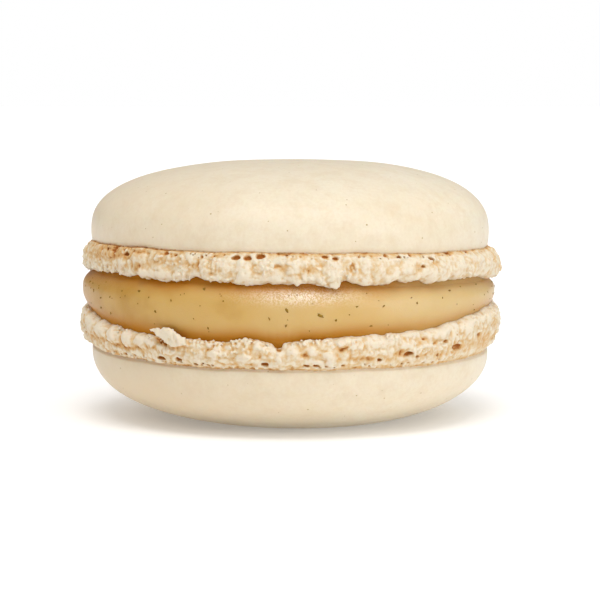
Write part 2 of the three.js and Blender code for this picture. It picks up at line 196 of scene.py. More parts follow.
# the columns of its lists are the same as above
bottomShell = {
    "piece": "bottom_shell_baked", "node": "bottom_shell", "series": 2,
    "crown": 0, "flatRadius": 11, "domeRadius": 21.1, "roundness": 2.3,
    "shoulder": 0.4, "edgeTuck": 0.15, "crownShift": 2, "shiftFade": 1.3, "leanFade": 2,
    "seam": (7.65, -0.24, -0.38), "rim": (12.2, 0.1, 0), "faceCentre": 11.8,
    "hollow": 1.9, "hollowFrom": (40, 15),
    "footRadius": 22.42, "footRight": 0.05, "rimRadius": 21.5, "bellyFall": (1.4, 0.3),
    "dropReach": 5.7, "creviceShadeShare": 0.92,
    "lobes": [
        (-71, 0.73, 3.1, 1.5, 0.6), (-61, 0.75, 1.25, 1.3, 0.65), (-54, 0.7, 1.25, 1.4, 0.65),
        (-47.8, 0.7, 1.05, 1.1, 0.5), (-43, 0.72, 1, 1.15, 0.5), (-38.7, 0.75, 0.95, 0.9, 0.4),
        (-31.6, 0.5, 1.2, 0.7, 0.25), (-24, 0.8, 1.1, 0.7, 0.25), (-19.3, 0.53, 1.15, 0.8, 0.45),
        (-11.5, 0.36, 1.1, 0.8, 0.45), (-6.7, 0.71, 1.05, 0.9, 0.3), (0.8, 0.65, 0.75, 1.05, 0.35),
        (5.7, 0.65, 0.8, 0.9, 0.3), (10.2, 0.51, 0.8, 1, 0.35), (14.3, 0.84, 1.1, 0.7, 0.4),
        (17.5, 0.61, 0.8, 0.6, 0.25), (21.7, 0.73, 0.95, 0.7, 0.3), (27.6, 0.83, 0.9, 0.9, 0.4),
        (33.7, 0.92, 1.2, 0.6, 0.4), (31.2, 0.64, 1.2, 0.5, 0.25), (44.7, 0.83, 1.35, 0.8, 0.5),
        (38.9, 0.56, 1.2, 0.6, 0.25), (38.9, 0.4, 1.35, 0.4, 0.2), (55.8, 0.8, 1.9, 1, 0.5),
        (49.6, 0.65, 1.2, 0.7, 0.3), (70.6, 0.84, 3.6, 1.15, 0.5), (64.5, 0.6, 1.8, 0.8, 0.35),
        (71.9, 0.47, 2.8, 0.8, 0.35),
    ],
    "hollows": [
        (-64.6, 0.7, 0.35, 1.3, 0.25), (-57.6, 0.72, 0.3, 1.3, 0.25), (-50.6, 0.7, 0.3, 1, 0.2),
        (-35.4, 0.85, 0.65, 0.4, 0.35), (-27.7, 0.39, 0.9, 0.4, 0.15), (-14.1, 0.69, 0.5, 0.6, 0.15),
        (-2.7, 0.87, 0.4, 0.4, 0.4), (-0.7, 0.52, 0.25, 0.8, 0.2), (4, 0.49, 0.6, 0.5, 0.25),
        (13.7, 0.63, 0.35, 0.5, 0.3), (19.6, 0.3, 1.7, 0.5, 0.35), (30, 0.42, 1.05, 0.5, 0.3),
        (47.1, 0.71, 0.32, 0.8, 0.25), (41, 0.66, 1.4, 0.25, 0.2),
    ],
    "pores": [
        (-50, 0.15, 0.3, 0.12), (-35.7, 0.22, 0.4, 0.19), (-30.4, 0.24, 0.36, 0.25),
        (-25.4, 0.14, 0.24, 0.12), (-20.4, 0.14, 0.21, 0.12), (-6.2, 0.2, 0.36, 0.22),
        (4.7, 0.15, 0.25, 0.12), (7, 0.17, 0.3, 0.14), (9.7, 0.15, 0.18, 0.1), (14.3, 0.14, 0.18, 0.1),
        (24.2, 0.26, 0.2, 0.14), (32.7, 0.38, 0.46, 0.22), (35.6, 0.28, 0.22, 0.12),
        (41, 0.59, 0.3, 0.18), (45.5, 0.57, 0.35, 0.17), (43.2, 0.27, 0.22, 0.16),
        (37.6, 0.76, 0.36, 0.14), (50.6, 0.35, 0.85, 0.3), (61.7, 0.5, 0.6, 0.33),
        (-42, 0.17, 0.2, 0.1), (-46, 0.16, 0.18, 0.1),
    ],
    "edge": [
        (-80, 1.02), (-70.9, 1.04), (-64.8, 0.98), (-61, 1.08), (-57.6, 1.02), (-54.2, 1.15),
        (-50.8, 1.05), (-47.7, 1.13), (-45, 1.05), (-42.3, 1.09), (-38, 1.04), (-33, 1), (-28, 0.99),
        (-24.2, 1.02), (-22, 0.99), (-18.8, 1), (-15, 0.98), (-11, 1.03), (-8.5, 1), (-6.7, 0.97),
        (-4.6, 0.9), (-3.6, 0.78), (-2, 0.77), (-1.2, 0.97), (2.7, 0.99), (6.5, 0.99), (10.2, 1.06),
        (13, 1.05), (15.4, 1.12), (19, 1.06), (22, 1.1), (25, 1.05), (27.6, 1.1), (30.5, 1.05),
        (33.6, 1.1), (37, 1.03), (40.6, 1.06), (43.5, 1.03), (47.9, 1.1), (52, 1.03), (57.4, 1.08),
        (62, 1.03), (70.4, 1.1), (80, 1.06),
    ],
    "toastAndShade": [
        (-8, 0.6, 10, 2.5, 0.25), (26, 0.25, 5, 0.9, 0.4), (44, 0.32, 6, 0.8, 0.4),
        (62, 0.32, 5, 0.7, 0.35), (-16.1, 0.9, 4.1, 0.65, 0.5), (4, 0.49, 1, 0.7, 0.45),
        (0.3, 0.87, 1.2, 0.6, 0.3), (13.7, 0.63, 0.5, 0.6, 0.5), (19.6, 0.3, 1.9, 0.5, 0.5),
        (30, 0.42, 1.3, 0.5, 0.45), (-35.4, 0.85, 0.75, 0.5, 0.7), (-24.3, 0.56, 1.5, 0.8, 0.3),
        (-61.1, 0.5, 2.1, 0.6, 0.35), (-49.5, 0.4, 3.2, 0.4, 0.35), (36.9, 0.68, 2.1, 0.4, 0.35),
        (-35, 0.8, 1.1, 0.6, 1.2), (51, 0.35, 1.4, 0.5, 0.6), (16.7, 0.83, 1.2, 0.5, 0.2),
        (65.3, 0.46, 1.6, 0.7, 0.35), (-12.3, 0.16, 6, 0.25, 0.35),
    ],
    "sandy": [
        (-16.1, 0.88, 4.3, 0.8, 1), (-19.3, 0.49, 1.3, 0.9, 0.8), (0.3, 0.87, 1.4, 0.7, 0.8),
        (-41.6, 0.2, 3.7, 0.3, 1), (16.7, 0.68, 1.6, 0.7, 0.6), (36.9, 0.48, 2.9, 0.8, 0.5),
        (-33.1, 0.48, 1.7, 0.6, 0.6), (7.7, 1, 5, 0.3, 0.7),
    ],
    "flake": {
        "corners": [  # bearing, height over the rim
            (-37.5, 0.75), (-35.9, 0.98), (-32.2, 1), (-27.2, 0.1), (-27.4, -0.5), (-30.8, -0.85), (-35, 0),
        ],
        "crevice": [  # bearing, share, radius
            (-37, 0.93, 0.26), (-35.6, 0.85, 0.34), (-34, 0.78, 0.32), (-32.6, 0.74, 0.22),
        ],
        "radius": (22.08, 22.54), "tilt": -0.12, "round": 0.05, "span": (-44, -22), "fused": 0.2,
        "rough": 0.06, "roughBlocks": ((26, 7, 14), (52, 14, 30)),
        "creviceShape": (1.4, 1.5, 0.8), "creviceTurn": -0.5, "creviceOut": 0.15, "creviceBlend": 0.1,
    },
}

# the craggy feet
footLook = {
    # the same lumps as on the solids, which carry on round the back
    "lumpRows": [  # share, count, half width, half height, rise
        (0.24, 58, 1.15, 0.8, 0.65), (0.6, 50, 1.45, 1.4, 0.95), (0.92, 54, 1.25, 0.8, 0.75),
    ],
    "lumpJitter": (0.7, 0.16),  # of their bearings, as a share of the gaps, and of their shares
    "lumpSpread": ((0.8, 0.45), (0.8, 0.4), (0.6, 0.6)),  # least and range for width, height and rise
    "lumpRise": 0.85, "lumpShare": 0.5, "lumpRoom": 0.625, "lumpBlend": 0.2, "lumpReach": 1.15,
    "lobeShare": 1.3, "rimShare": 0.94, "scallop": 0.25,
    "front": (66, 82), "frontFade": 0.75,  # the listed forms fade out between these bearings
    "ends": (0.2, 0.5, 4),  # what is left of the lumps at the seam and at the rim, and how fast they rise
    "cell": 0.1,
    "innerRadius": 20.1, "outerRadius": 23.2, "coreRadius": 20.6, "overSkin": 0.8,
    "puff": 0.12, "puffWidth": 1.3, "puffHeight": 1.7, "puffLevel": 0.35, "creaseRound": 0.01,
    "groove": 0.06, "grooveAt": 0.12, "grooveWidth": 0.2, "grooveUneven": 0.6, "rimRound": 0.8,
    "looseBlocks": (50, 4), "looseRise": 2.5, "looseFade": 0.7,
    "brownBlocks": (44, 4), "brownRise": 1.6, "brownMost": 0.6, "leftBrown": 0.24,
    "poreBrownAndShade": (1.15, 0.55, 20),  # browning and painted shade in burst pores: left of a bearing, right of it, and the bearing
    "skirt": (0.35, 20.7, 21), "edgeSink": 0.03,  # how high the crumb rises under the skin, and up to where
    "seamWaves": ((5, 0.05, 40), (11, 0.04, 200), (23, 0.03, 10)),  # count, height, start
    "faces": 170000,
}


def seamLevel(shell, bearing):
    level = leaning(shell["seam"], bearing)
    for count, height, start in footLook["seamWaves"]:
        level = level + height * np.sin(np.radians(count * bearing + start))
    return level


def frontShare(bearing):
    return 1 - smoothStep(np.abs(turned(bearing)), *footLook["front"])


def rimLevel(shell, bearing):
    turn = turned(bearing)
    start = np.where(turn < 0, shell["hollowFrom"][0], shell["hollowFrom"][1])
    return leaning(shell["rim"], bearing) - shell["hollow"] * (1 - smoothStep(np.abs(turn), start, 90))


def faceLevel(shell, bearing, radius):
    share = (radius / shell["rimRadius"]) ** 2
    return shell["faceCentre"] * (1 - share) + rimLevel(shell, bearing) * share


def towardsCream(shell):
    return np.sign(shell["rim"][0] - shell["seam"][0])


def dropOf(points, shell, bearing):
    return (points[:, 2] - seamLevel(shell, bearing)) * towardsCream(shell)


def bigLumps(series):
    turnJitter, shareJitter = footLook["lumpJitter"]
    lumps = []
    for row, (share, count, *sizes) in enumerate(footLook["lumpRows"]):
        for k in range(count):
            index = row * 100 + k
            bearing = (k + 0.5 + turnJitter * (draw(index, series) - 0.5)) / count * 360
            shareAt = share + shareJitter * (draw(index, series + 10) - 0.5)
            drawn = [
                size * (least + span * draw(index, series + step))
                for size, (least, span), step in zip(sizes, footLook["lumpSpread"], (20, 30, 40))
            ]
            lumps.append((bearing, shareAt, *drawn))
    return lumps


# 1 in the middle of a form, falling by the fade up to its edge and on beyond it
def closeness(form, shell, bearing, share, reach=1, fade=1):
    at, shareAt, halfWidth, halfHeight = form[:4]
    across = arcBetween(bearing, at, shell["footRadius"]) / (reach * halfWidth)
    along = (share - shareAt) * abs(shell["rim"][0] - shell["seam"][0]) / (reach * halfHeight)
    return 1 - fade * across ** 2 - fade * along ** 2


def nothing(bearing, share):
    return np.zeros(np.broadcast(bearing, share).shape)


# the lumps as on the solids
def relief(shapes, shell, bearing, share):
    most = nothing(bearing, share)
    for form in shapes:
        cap = np.sqrt(np.maximum(0, closeness(form, shell, bearing, share)))
        most = np.maximum(most, form[4] * cap)
    return most


# the same lumps, but puffed and rounded where they meet
def softRelief(shapes, shell, bearing, share):
    most = nothing(bearing, share)
    for form in shapes:
        near = closeness(form, shell, bearing, share, reach=footLook["lumpReach"])
        most = softMax(most, form[4] * np.maximum(0, near) ** 0.8, footLook["lumpBlend"])
    return most


# soft spots, from 0 to the amount of each
def spots(shapes, shell, bearing, share):
    most = nothing(bearing, share)
    for form in shapes:
        near = closeness(form, shell, bearing, share, fade=0.6)
        most = np.maximum(most, form[4] * np.clip(near, 0, 1))
    return most


# how far the foot reaches from the skin's edge at each bearing
def edgeDrop(shell, bearing):
    lumps = relief(bigLumps(shell["series"]), shell, bearing, np.full_like(bearing, footLook["rimShare"]))
    drop = np.abs(rimLevel(shell, bearing) - leaning(shell["seam"], bearing))
    turns, shares = zip(*shell["edge"])
    known = drop * np.interp(turned(bearing), turns, shares)
    drawn = drop - footLook["scallop"] * np.maximum(0, 1 - lumps / footLook["lumpRise"])
    front = frontShare(bearing)
    return known * front + drawn * (1 - front)


def footSurface(shell, bearing, share):
    fall = shell["bellyFall"][0] + shell["bellyFall"][1] * np.sin(np.radians(bearing))
    outer = shell["footRadius"] + shell["footRight"] * np.sin(np.radians(bearing))
    outer = outer - footLook["lumpRise"] * footLook["lumpRoom"]
    inner = (shell["domeRadius"] - shell["edgeTuck"]) * (1 - share) + shell["rimRadius"] * share
    belly = np.sqrt(np.maximum(0, 1 - (2 * share ** fall - 1) ** 2))
    seamEnd, rimEnd, steepness = footLook["ends"]
    ends = np.minimum(1, np.minimum(seamEnd + steepness * share, rimEnd + steepness * (1 - share)))
    front = frontShare(bearing)
    drawn = softRelief(bigLumps(shell["series"]), shell, bearing, share) * footLook["lumpShare"]
    known = softRelief(shell["lobes"], shell, bearing, share)
    known = known - softRelief(shell["hollows"], shell, bearing, share)
    lumps = footLook["lobeShare"] * known * front + drawn * (1 - footLook["frontFade"] * front)
    return inner + (outer - inner) * belly + lumps * ends


# the foot as a field over bearing, radius and drop: above 0 inside the crumb
class FootGrid:
    def __init__(self, shell):
        cell = footLook["cell"]
        self.shell = shell
        self.cell = cell
        self.dice = np.random.default_rng(40 + shell["series"])
        self.count = round(2 * math.pi * shell["footRadius"] / cell)
        self.bearings = np.arange(self.count) * 360 / self.count
        self.radii = np.arange(footLook["innerRadius"] - 2 * cell, footLook["outerRadius"], cell)
        self.drops = np.arange(-footLook["overSkin"], shell["dropReach"], cell)
        self.shape = (self.count, len(self.radii), len(self.drops))
        self.edge = edgeDrop(shell, self.bearings)
        self.front = frontShare(self.bearings)[:, None]
        self.share = np.clip(self.drops[None, :] / self.edge[:, None], 0, 1)
        self.surface = footSurface(shell, self.bearings[:, None], self.share)
        furrow = self.groove()
        self.surface = self.surface + self.puffs() - furrow
        self.sandy = self.looseCrumb()
        self.toastAndShade = self.browningAndShade()
        self.field = self.startField()

    # soft spots over bearing and drop
    def spread(self, shapes):
        return spots(shapes, self.shell, self.bearings[:, None], self.share)

    # a cloud over bearing and drop
    def sheet(self, blocksRound, blocksDown):
        return cloud(self.dice, (self.count, 2, len(self.drops)), (blocksRound, 2, blocksDown))[:, 0, :]

    # an uneven furrow just off the skin's edge
    def groove(self):
        uneven = footLook["grooveUneven"]
        fit = uneven + uneven * cloud(self.dice, (self.count, 2, 2), (60, 2, 2))[:, :1, 0]
        away = (self.drops[None, :] - footLook["grooveAt"]) / footLook["grooveWidth"]
        return footLook["groove"] * fit * np.exp(-away ** 2)

    # soft bolsters with creases between them
    def puffs(self):
        across = round(2 * math.pi * self.shell["footRadius"] / footLook["puffWidth"])
        down = round(self.shell["dropReach"] / footLook["puffHeight"]) + 2
        puffed = np.sqrt(self.sheet(across, down) ** 2 + footLook["creaseRound"]) - footLook["puffLevel"]
        belly = np.minimum(1, 3 * self.share) * np.minimum(1, 0.5 + 3 * (1 - self.share))
        return footLook["puff"] * puffed * belly

    # where loose grains lie on the crumb
    def looseCrumb(self):
        sandy = self.spread(self.shell["sandy"]) * self.front
        loose = self.sheet(*footLook["looseBlocks"])
        loose = np.clip(footLook["looseRise"] * loose, 0, 1)
        return np.maximum(sandy, loose * (1 - footLook["looseFade"] * self.front))

    # how browned the crumb is, partly painted shade in pores, crevices and under lobes
    def browningAndShade(self):
        known = self.spread(self.shell["toastAndShade"]) * self.front
        patches = footLook["brownRise"] * self.sheet(*footLook["brownBlocks"])
        toastAndShade = np.maximum(known, np.clip(patches, 0, footLook["brownMost"]) * (1 - self.front))
        left = footLook["leftBrown"] * smoothStep(-np.sin(np.radians(self.bearings)), 0.2, 0.8)[:, None]
        toastAndShade += left * (1 - 0.8 * smoothStep(self.share, 0.35, 0.75))
        leftMuch, rightMuch, border = footLook["poreBrownAndShade"]
        burst = [(*pore, leftMuch if pore[0] < border else rightMuch) for pore in self.shell["pores"]]
        return np.maximum(toastAndShade, self.spread(burst))

    def startField(self):
        field = self.surface[:, None, :] - self.radii[None, :, None]
        field = softMin(field, self.edge[:, None, None] - self.drops[None, None, :], footLook["rimRound"])
        return self.closed(field)

    # nothing rises over the skin's edge, except under the skin, or comes in from the core
    def closed(self, field):
        radii = self.radii[None, :, None]
        height, start, end = footLook["skirt"]
        over = height * (1 - smoothStep(radii, start, end)) - footLook["edgeSink"]
        field = np.minimum(field, self.drops[None, None, :] + over)
        return np.minimum(field, radii - footLook["innerRadius"])

    def column(self, bearing):
        return int(bearing % 360 / 360 * self.count) % self.count

    def surfaceAt(self, bearing, share):
        column = self.column(bearing)
        drop = share * self.edge[column]
        level = min(int((drop - self.drops[0]) / self.cell), len(self.drops) - 1)
        return self.surface[column, level], drop

    # the cells of one axis that lie within reach of a value
    def within(self, axis, value, reach):
        low = max(0, int((value - reach - axis[0]) / self.cell))
        return slice(low, max(0, int((value + reach - axis[0]) / self.cell) + 2))

    # adds a smooth blob to the crumb or cuts one out of it
    def blob(self, bearing, radius, drop, size, blend, stretch=(1, 1, 1), turn=0, cut=False):
        reach = size * max(stretch) + blend
        span = int(reach / self.cell) + 2
        middle = int(round(bearing % 360 / 360 * self.count))
        columns = np.arange(middle - span, middle + span + 1)
        rows = self.within(self.radii, radius, reach)
        levels = self.within(self.drops, drop, reach)
        across = arcBetween(columns * 360 / self.count, bearing, self.shell["footRadius"])[:, None, None]
        inward = (self.radii[rows] - radius)[None, :, None]
        along = (self.drops[levels] - drop)[None, None, :]
        c, s = math.cos(turn), math.sin(turn)
        u = (across * c + along * s) / stretch[0]
        v = (along * c - across * s) / stretch[2]
        field = size - np.sqrt(u * u + (inward / stretch[1]) ** 2 + v * v)
        columns = columns % self.count
        window = self.field[columns, rows, levels]
        joined = softMin(window, -field, blend) if cut else softMax(window, field, blend)
        self.field[columns, rows, levels] = joined


knobs = {
    "count": 380, "radius": (0.3, 0.62), "rise": (-0.04, 0.04), "shares": (0.12, 0.8),
    "depth": 0.8, "blend": 0.18, "stretch": (0.8, 1.4), "turn": 0.8,
}


def addKnobs(grid):
    dice = grid.dice
    for k in range(knobs["count"]):
        bearing, share = dice.uniform(0, 360), dice.uniform(*knobs["shares"])
        size = drawnSize(dice, knobs["radius"], 1.6)
        radius, drop = grid.surfaceAt(bearing, share)
        stretch = (dice.uniform(*knobs["stretch"]), knobs["depth"], dice.uniform(*knobs["stretch"]))
        proud = dice.uniform(*knobs["rise"])
        turn = dice.uniform(-knobs["turn"], knobs["turn"])
        middle = radius - size * knobs["depth"] + proud
        grid.blob(bearing, middle, drop, size, knobs["blend"], stretch, turn)


grains = {
    "count": 12000, "radius": (0.09, 0.16), "rise": (-0.07, 0.05), "shares": (0.05, 1.0), "blend": 0.05,
    "rimBand": (0.93, 0.07), "rimSink": (0.15, 0.7), "rimBack": 0.06, "chance": (0.05, 0.9),
}


def addGrains(grid):
    dice = grid.dice
    for k in range(grains["count"]):
        bearing, share = dice.uniform(0, 360), dice.uniform(*grains["shares"])
        size = drawnSize(dice, grains["radius"], 1.6)
        radius, drop = grid.surfaceAt(bearing, share)
        level = min(int((drop - grid.drops[0]) / grid.cell), len(grid.drops) - 1)
        if grid.sandy[grid.column(bearing), level] < dice.uniform(*grains["chance"]):
            continue
        # grains at the rim sit in its top
        start, width = grains["rimBand"]
        rim = max(0, share - start) / width
        rise = dice.uniform(*grains["rise"]) - rim * dice.uniform(*grains["rimSink"])
        grid.blob(bearing, radius + rise, drop - grains["rimBack"] * rim, size, grains["blend"])


roughness = {
    "crags": ((1.1, 0.07), (0.24, 0.034)),  # width and height of the clouds
    "bolsters": ((0.8, 0.085), (0.42, 0.055)),  # the same for small round bolsters
    "radius": 22, "depth": 3.5,
}


def roughen(grid):
    for kind in ("crags", "bolsters"):
        for width, height in roughness[kind]:
            around = round(2 * math.pi * roughness["radius"] / width)
            inward = max(2, round(roughness["depth"] / width))
            down = round(grid.shell["dropReach"] / width) + 2
            waves = cloud(grid.dice, grid.shape, (around, inward, down))
            if kind == "bolsters":
                waves = 2 * np.sqrt(np.abs(waves)) - 1
            grid.field += height * waves


# burst bubbles: ragged three-cornered holes near the skin's edge, and pinholes
bubbles = {
    "drawn": 34, "width": (0.12, 0.34), "flatness": 0.75, "nearest": 0.16, "reach": 0.35,
    "corners": 3, "cornerTurn": 2.1, "jitter": 0.4, "spread": 0.5,
    "cornerSize": 0.75, "cornerSizes": (0.75, 1.15), "deepest": (2.2, 0.34), "blend": 0.08,
    "pinholes": 320, "pinholeRadius": (0.08, 0.14), "pinholeShape": (1.2, 1.4, 0.9), "pinholeBlend": 0.04,
}


def cutPore(grid, bearing, drop, halfWidth, halfHeight):
    dice = grid.dice
    radius = grid.surfaceAt(bearing, min(0.9, drop / 4))[0]
    turn = dice.uniform(0, 2 * math.pi)
    for corner in range(bubbles["corners"]):
        angle = turn + corner * bubbles["cornerTurn"] + dice.uniform(-bubbles["jitter"], bubbles["jitter"])
        across = bubbles["spread"] * halfWidth * math.cos(angle)
        along = bubbles["spread"] * halfHeight * math.sin(angle)
        size = bubbles["cornerSize"] * min(halfWidth, halfHeight) * dice.uniform(*bubbles["cornerSizes"])
        most, depth = bubbles["deepest"]
        stretch = (halfWidth / halfHeight, min(most, depth / size), 1)
        place = bearing + math.degrees(across / radius)
        grid.blob(place, radius + 0.02, drop + along, size, bubbles["blend"], stretch, cut=True)


def burstBubbles(grid):
    dice, shell = grid.dice, grid.shell
    for k in range(bubbles["drawn"]):
        bearing = (k + dice.random()) / bubbles["drawn"] * 360
        size = drawnSize(dice, bubbles["width"], 1.5)
        drop = bubbles["nearest"] + size * 0.8 + bubbles["reach"] * dice.random() ** 2
        if frontShare(bearing) < 0.5:
            cutPore(grid, bearing, drop, size, size * bubbles["flatness"])
    for at, share, halfWidth, halfHeight in shell["pores"]:
        cutPore(grid, at, share * grid.edge[grid.column(at)], halfWidth, halfHeight)
    for k in range(bubbles["pinholes"]):
        bearing, size = dice.uniform(0, 360), dice.uniform(*bubbles["pinholeRadius"])
        radius = grid.surfaceAt(bearing, 0.1)[0]
        drop = 0.1 + 0.5 * dice.random() ** 1.7
        grid.blob(bearing, radius, drop, size, bubbles["pinholeBlend"], bubbles["pinholeShape"], cut=True)


# a thin shard that stands up at the rim, with a crevice under its left end
def addFlake(grid, flake):
    shell = grid.shell
    columns = np.arange(*flake["span"], 360 / grid.count)
    index = np.round(columns % 360 / 360 * grid.count).astype(int) % grid.count
    middle = np.mean([corner[0] for corner in flake["corners"]])
    across = arcBetween(grid.bearings[index], middle, shell["footRadius"])[:, None, None]
    rim = np.abs(rimLevel(shell, grid.bearings[index]) - leaning(shell["seam"], grid.bearings[index]))
    height = grid.drops[None, None, :] - rim[:, None, None]
    corners = [(arcBetween(b, middle, shell["footRadius"]), h) for b, h in flake["corners"]]
    shard = np.full((len(index), len(grid.radii), len(grid.drops)), 9.0)
    for (x0, y0), (x1, y1) in zip(corners, corners[1:] + corners[:1]):
        length = math.hypot(x1 - x0, y1 - y0)
        side = ((x1 - x0) * (height - y0) - (y1 - y0) * (across - x0)) / length
        shard = softMin(shard, -side, flake["round"])
    inner, outer = flake["radius"]
    middleRadius = (inner + outer) / 2 - flake["tilt"] * height
    thickness = (outer - inner) / 2 - np.abs(grid.radii[None, :, None] - middleRadius)
    shard = softMin(shard, thickness, flake["round"])
    for blocks in flake["roughBlocks"]:
        shard += flake["rough"] * cloud(grid.dice, shard.shape, blocks)
    for bearing, share, size in flake["crevice"]:
        radius, drop = grid.surfaceAt(bearing, share)
        out, blend = radius + flake["creviceOut"], flake["creviceBlend"]
        grid.blob(bearing, out, drop, size, blend, flake["creviceShape"], flake["creviceTurn"], cut=True)
    grid.field[index] = softMax(grid.field[index], shard, flake["fused"])


def growFoot(shell):
    grid = FootGrid(shell)
    addKnobs(grid)
    if shell["flake"]:
        addFlake(grid, shell["flake"])
    addGrains(grid)
    roughen(grid)
    burstBubbles(grid)
    # the ring stays closed at the ends of the grid
    grid.field = grid.closed(grid.field)
    for end in (grid.field[:, -1, :], grid.field[:, :, -1]):
        np.minimum(end, -0.01, out=end)
    return grid


cubeCorners = [(i, j, k) for i in (0, 1) for j in (0, 1) for k in (0, 1)]


# wraps a field over the grid in a closed skin of quads
def wrapField(grid):
    inside = grid.field > 0
    count = grid.count

    def corner(values, i, j, k):
        rolled = np.roll(values, -i, 0) if i else values
        return rolled[:, j:values.shape[1] - 1 + j, k:values.shape[2] - 1 + k]

    total = sum(corner(inside, *offset).astype(np.int8) for offset in cubeCorners)
    active = (total > 0) & (total < 8)
    cells = np.argwhere(active)
    number = np.full(active.shape, -1, dtype=np.int64)
    number[active] = np.arange(len(cells))
    values = {}
    for offset in cubeCorners:
        i, j, k = (cells + offset).T
        values[offset] = grid.field[i % count, j, k]
    place = np.zeros((len(cells), 3))
    crossings = np.zeros(len(cells))
    for a in cubeCorners:
        for axis in range(3):
            if a[axis]:
                continue
            b = tuple(1 if n == axis else a[n] for n in range(3))
            va, vb = values[a], values[b]
            crosses = (va > 0) != (vb > 0)
            step = np.where(crosses, va / np.where(crosses, va - vb, 1), 0)
            for n in range(3):
                place[:, n] += np.where(crosses, a[n] + (step if n == axis else 0), 0)
            crossings += crosses
    place = cells + place / crossings[:, None]

    quads = []
    for axis in range(3):
        changes = inside != np.roll(inside, -1, axis)
        if axis:
            np.moveaxis(changes, axis, 0)[-1] = False
        others = [n for n in range(3) if n != axis]
        edges = np.argwhere(changes)
        edges = edges[np.all([(edges[:, n] > 0) | (n == 0) for n in others], axis=0)]
        ring = []
        for u, v in ((1, 1), (0, 1), (0, 0), (1, 0)):
            at = edges.copy()
            at[:, others[0]] -= u
            at[:, others[1]] -= v
            at[:, 0] %= count
            ring.append(number[at[:, 0], at[:, 1], at[:, 2]])
        ring = np.stack(ring, 1)
        outward = inside[edges[:, 0], edges[:, 1], edges[:, 2]] ^ (axis == 1)
        ring[~outward] = ring[~outward][:, ::-1]
        quads.append(ring)
    quads = np.concatenate(quads)

    bearing = place[:, 0] * 360 / count
    radius = grid.radii[0] + place[:, 1] * grid.cell
    drop = grid.drops[0] + place[:, 2] * grid.cell
    level = seamLevel(grid.shell, bearing) + towardsCream(grid.shell) * drop
    angle = np.radians(bearing)
    points = np.stack([radius * np.sin(angle), -radius * np.cos(angle), level], 1)
    if towardsCream(grid.shell) > 0:
        quads = quads[:, ::-1]
    return points, quads


# a closed body from rings of equal counts, given from the middle of one side to that of the other
def makeLathe(rings, segments):
    angle = np.radians(np.arange(segments) * 360 / segments)
    points = [
        np.stack([shift + radius * np.sin(angle), -radius * np.cos(angle), level], 1)
        for radius, level, shift in rings[1:-1]
    ]
    ends = [(shift, 0, float(np.mean(level))) for radius, level, shift in (rings[0], rings[-1])]
    bottom = (len(points) - 1) * segments
    first = bottom + segments
    points = np.concatenate([*points, ends])
    around = np.arange(segments)
    nextOne = (around + 1) % segments
    faces = []
    for upper in range(0, bottom, segments):
        lower = upper + segments
        faces += np.stack([lower + around, lower + nextOne, upper + nextOne, upper + around], 1).tolist()
    faces += [(int(a), int(b), first) for a, b in zip(around, nextOne)]
    faces += [(int(bottom + b), int(bottom + a), first + 1) for a, b in zip(around, nextOne)]
    return points, faces


# the smooth skin of both domes
skinLook = {
    "counts": ((288, 44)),  # faces round the dome, rings down it
    "edgeRadius": 0.16, "edgeTurns": (30, 60, 90), "waveFade": 8,
    "flatRings": (0.3, 0.6, 0.85, 0.95), "coreRings": (18, 12, 6), "underEdge": 20.75,
    "swells": 9, "swellHeight": 0.012, "swellWaves": (0.25, 0.8), "swellUp": 0.5,
    "swellFrom": (0.3, 1.5), "swellOverFloor": (0.05, 1.5),
}


# the dome with its hidden core, as rings from its middle over its edge to its flat face
def domeRings(shell, segments, steps):
    seam = shell["seam"][0]
    outward = np.sign(shell["crown"] - seam)
    widest = seam + outward * shell["shoulder"]
    power = shell["roundness"]
    flat = shell["flatRadius"] / shell["domeRadius"]
    rise = (shell["crown"] - widest) / (1 - flat ** power) ** (1 / power)
    start = math.asin(flat ** (power / 2))
    bearing = np.arange(segments) * 360 / segments
    lean = leaning(shell["seam"], bearing) - seam
    waves = seamLevel(shell, bearing) - leaning(shell["seam"], bearing)

    def ring(radius, level, core=False):
        fallen = abs((shell["crown"] - level) / (shell["crown"] - seam))
        leanShare = 1 if core else fallen ** shell["leanFade"]
        shift = shell["crownShift"] * max(0, 1 - radius / shell["domeRadius"]) ** shell["shiftFade"]
        tilted = level + lean * leanShare + waves * leanShare ** skinLook["waveFade"]
        return (radius, tilted, 0 if core else shift)

    rings = [ring(0, shell["crown"])]
    if shell["flatRadius"]:
        rings += [ring(shell["flatRadius"] * share, shell["crown"]) for share in skinLook["flatRings"]]
    for k in range(steps + 1):
        angle = start + (math.pi / 2 - start) * (k + (0 if shell["flatRadius"] else 1)) / (steps + 1)
        radius = shell["domeRadius"] * math.sin(angle) ** (2 / power)
        rings.append(ring(radius, widest + rise * math.cos(angle) ** (2 / power)))
    # nearly upright band, then the skin's rounded edge
    edge = skinLook["edgeRadius"]
    for share in (0, 0.25, 0.5, 0.75, 1):
        level = widest + (seam + outward * edge - widest) * share
        rings.append(ring(shell["domeRadius"] - shell["edgeTuck"] * share ** 2, level))
    for turn in skinLook["edgeTurns"]:
        a = math.radians(turn)
        radius = shell["domeRadius"] - shell["edgeTuck"] - edge * (1 - math.cos(a))
        rings.append(ring(radius, seam + outward * edge * (1 - math.sin(a)), True))
    core = footLook["coreRadius"]
    rings += [ring(radius, seam, True) for radius in (skinLook["underEdge"], core)]
    rings += [(radius, faceLevel(shell, bearing, radius), 0) for radius in (core, *skinLook["coreRings"])]
    rings.append((0, np.full(segments, shell["faceCentre"]), 0))
    return rings


